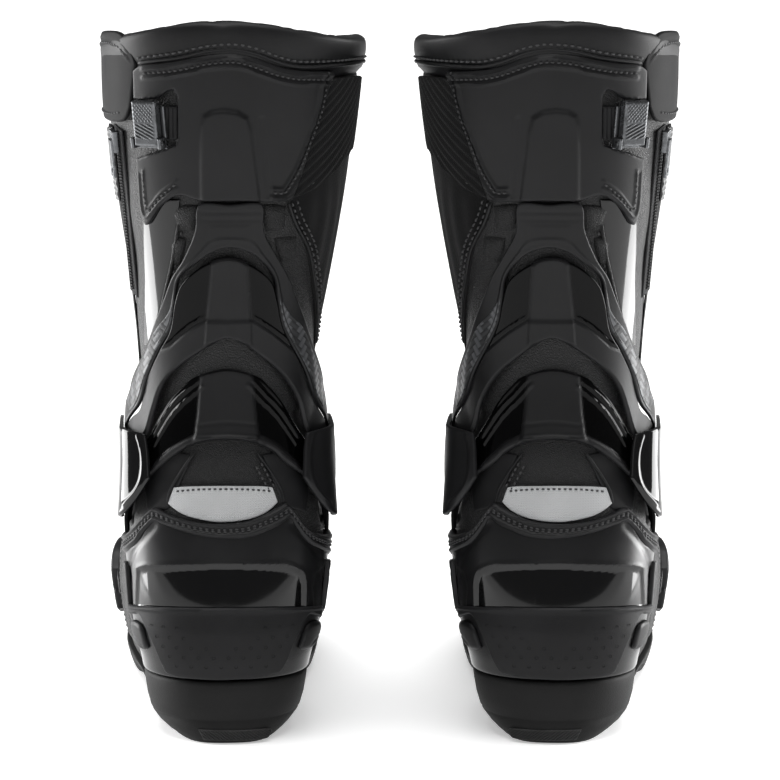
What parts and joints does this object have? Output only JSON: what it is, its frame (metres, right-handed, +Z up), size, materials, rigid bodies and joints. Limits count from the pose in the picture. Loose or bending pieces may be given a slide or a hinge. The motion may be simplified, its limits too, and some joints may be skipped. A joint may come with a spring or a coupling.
{
  "type": "riding boots",
  "caption": "Pair of tall leather road-race boots with moulded calf, shin and heel plates, a hinged ankle brace, a lever buckle and a zip.",
  "frame": {"origin": "centre of the pair's footprint, on the floor", "axes": "+Z up, +Y towards the toes, +X towards the wearer's right boot"},
  "size_m": [0.286, 0.2992, 0.3324],
  "materials": {
    "rubber": "matt black moulded rubber with a fine texture",
    "satin_rubber": "satin black perforated rubber",
    "lining": "black knitted lining and tape",
    "leather": "black grained leather",
    "satin_plastic": "satin anthracite moulded plastic",
    "gloss_plastic": "glossy black moulded plastic",
    "carbon_weave": "carbon-fibre weave pattern under satin lacquer",
    "reflective_fabric": "silver-grey reflective fabric",
    "gunmetal": "gunmetal-grey anodised aluminium"
  },
  "bodies": {
    "feet": {"outsole_left": "rubber", "heel_plug_left": "rubber", "insole_left": "lining", "foot_upper_left": "leather", "toe_slider_left": "satin_plastic", "toe_slider_screw_left": "gunmetal", "shift_pad_left": "rubber", "heel_counter_left": "gloss_plastic", "heel_pad_left": "satin_rubber", "heel_insert_outer_left": "satin_plastic", "heel_insert_inner_left": "satin_plastic", "lower_arch_left": "satin_plastic", "ankle_pivot_outer_left": "gloss_plastic", "ankle_pivot_inner_left": "satin_plastic", "reflective_patch_left": "reflective_fabric", "ankle_gaiter_left": "leather", "outsole_right": "rubber", "heel_plug_right": "rubber", "insole_right": "lining", "foot_upper_right": "leather", "toe_slider_right": "satin_plastic", "toe_slider_screw_right": "gunmetal", "shift_pad_right": "rubber", "heel_counter_right": "gloss_plastic", "heel_pad_right": "satin_rubber", "heel_insert_outer_right": "satin_plastic", "heel_insert_inner_right": "satin_plastic", "lower_arch_right": "satin_plastic", "ankle_pivot_outer_right": "gloss_plastic", "ankle_pivot_inner_right": "satin_plastic", "reflective_patch_right": "reflective_fabric", "ankle_gaiter_right": "leather"},
    "leg_left": {"shaft_left": "leather", "collar_left": "leather", "calf_plate_left": "satin_plastic", "yoke_left": "satin_plastic", "carbon_inlay_outer_left": "carbon_weave", "carbon_inlay_inner_left": "carbon_weave", "shin_plate_left": "satin_plastic", "front_flap_left": "leather", "buckle_base_left": "gunmetal", "ladder_strap_left": "satin_rubber", "zip_track_left": "lining"},
    "leg_right": {"shaft_right": "leather", "collar_right": "leather", "calf_plate_right": "satin_plastic", "yoke_right": "satin_plastic", "carbon_inlay_outer_right": "carbon_weave", "carbon_inlay_inner_right": "carbon_weave", "shin_plate_right": "satin_plastic", "front_flap_right": "leather", "buckle_base_right": "gunmetal", "ladder_strap_right": "satin_rubber", "zip_track_right": "lining"},
    "middle_arch_left": {"mid_arch_left": "gloss_plastic"},
    "lever_left": {"buckle_lever_left": "gunmetal"},
    "zip_pull_left": {"zip_slider_left": "gunmetal"},
    "middle_arch_right": {"mid_arch_right": "gloss_plastic"},
    "lever_right": {"buckle_lever_right": "gunmetal"},
    "zip_pull_right": {"zip_slider_right": "gunmetal"}
  },
  "joints": [
    {"name": "ankle_flex_left", "type": "hinge", "parent": "feet", "child": "leg_left", "pos_m": [-0.07815, -0.07944, 0.122], "axis": [-0.9981, -0.0611, 0], "range_deg": [0, 20], "stiffness_Nm_per_rad": 6, "deforming": ["ankle_gaiter_left"]},
    {"name": "brace_flex_left", "type": "hinge", "parent": "feet", "child": "middle_arch_left", "pos_m": [-0.07815, -0.07944, 0.122], "axis": [-0.9981, -0.0611, 0], "range_deg": [0, 10]},
    {"name": "buckle_open_left", "type": "hinge", "parent": "leg_left", "child": "lever_left", "pos_m": [-0.10883, -0.13898, 0.27671], "axis": [0.8306, -0.5569, 0], "range_deg": [0, 75]},
    {"name": "zip_run_left", "type": "slide", "parent": "leg_left", "child": "zip_pull_left", "axis": [-0.0633, -0.2547, 0.9649], "range_m": [-0.064, 0]},
    {"name": "ankle_flex_right", "type": "hinge", "parent": "feet", "child": "leg_right", "pos_m": [0.07815, -0.07944, 0.122], "axis": [-0.9981, 0.0611, 0], "range_deg": [0, 20], "stiffness_Nm_per_rad": 6, "deforming": ["ankle_gaiter_right"]},
    {"name": "brace_flex_right", "type": "hinge", "parent": "feet", "child": "middle_arch_right", "pos_m": [0.07815, -0.07944, 0.122], "axis": [-0.9981, 0.0611, 0], "range_deg": [0, 10]},
    {"name": "buckle_open_right", "type": "hinge", "parent": "leg_right", "child": "lever_right", "pos_m": [0.10883, -0.13898, 0.27671], "axis": [0.8306, 0.5569, 0], "range_deg": [0, 75]},
    {"name": "zip_run_right", "type": "slide", "parent": "leg_right", "child": "zip_pull_right", "axis": [0.0633, -0.2547, 0.9649], "range_m": [-0.064, 0]}
  ],
  "couplings": [
    {"joint": "brace_flex_left", "follows": "ankle_flex_left", "ratio": 0.5},
    {"joint": "brace_flex_right", "follows": "ankle_flex_right", "ratio": 0.5}
  ]
}
